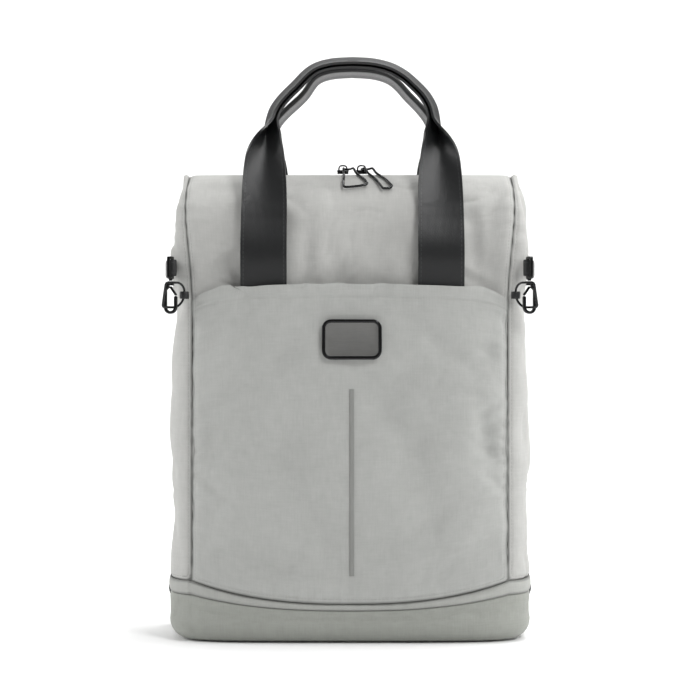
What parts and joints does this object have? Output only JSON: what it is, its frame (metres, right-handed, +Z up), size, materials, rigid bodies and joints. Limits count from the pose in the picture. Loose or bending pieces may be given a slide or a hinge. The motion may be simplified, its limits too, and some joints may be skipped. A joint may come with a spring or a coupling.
{
  "type": "convertible backpack",
  "caption": "Soft tote-shaped backpack with top carrying handles, front slip pocket, curved base band, side snap hooks and rear shoulder straps.",
  "frame": {"origin": "middle of the base, on the floor it stands on", "axes": "+Z up along the bag's height, +X to the right as the front is seen, the front faces -Y"},
  "size_m": [0.3174, 0.1788, 0.4877],
  "materials": {
    "cloth": "matt pale grey nylon",
    "cloth_deep": "matt grey nylon, slightly darker",
    "webbing": "satin charcoal webbing",
    "stripe": "grey woven tape",
    "zip": "dark zip tape and coil",
    "metal": "glossy dark gunmetal",
    "plate": "brushed grey, blank",
    "plastic": "dark moulded plastic"
  },
  "bodies": {
    "root": {"base": "cloth", "seam_band": "cloth_deep", "front_panel": "cloth", "right_gusset": "cloth", "back_panel": "cloth", "left_gusset": "cloth", "front_pocket": "cloth", "centre_stripe": "stripe", "front_handle": "webbing", "back_handle": "webbing", "top_zip": "zip", "badge_frame": "metal", "badge_plate": "plate", "left_zip_slider": "metal", "left_zip_pull": "metal", "right_zip_slider": "metal", "right_zip_pull": "metal", "left_ring": "metal", "right_ring": "metal", "left_ring_tab": "webbing", "right_ring_tab": "webbing", "left_snap_hook": "metal", "right_snap_hook": "metal", "left_hook_eye": "metal", "right_hook_eye": "metal", "left_side_strap": "webbing", "right_side_strap": "webbing", "left_lower_loop": "webbing", "right_lower_loop": "webbing", "left_shoulder_pad": "cloth_deep", "right_shoulder_pad": "cloth_deep", "left_strap_buckle": "plastic", "right_strap_buckle": "plastic", "left_strap_tail": "webbing", "right_strap_tail": "webbing"},
    "left_gate": {"left_hook_gate": "metal"},
    "right_gate": {"right_hook_gate": "metal"}
  },
  "joints": [
    {"name": "left_gate_hinge", "type": "hinge", "parent": "root", "child": "left_gate", "pos_m": [-0.14713, -0.06023, 0.2918], "axis": [0.342, 0.9397, 0], "range_deg": [0, 28], "stiffness_Nm_per_rad": 0.01, "springref_deg": -5.73},
    {"name": "right_gate_hinge", "type": "hinge", "parent": "root", "child": "right_gate", "pos_m": [0.14713, -0.06023, 0.2918], "axis": [0.342, -0.9397, 0], "range_deg": [0, 28], "stiffness_Nm_per_rad": 0.01, "springref_deg": -5.73}
  ]
}
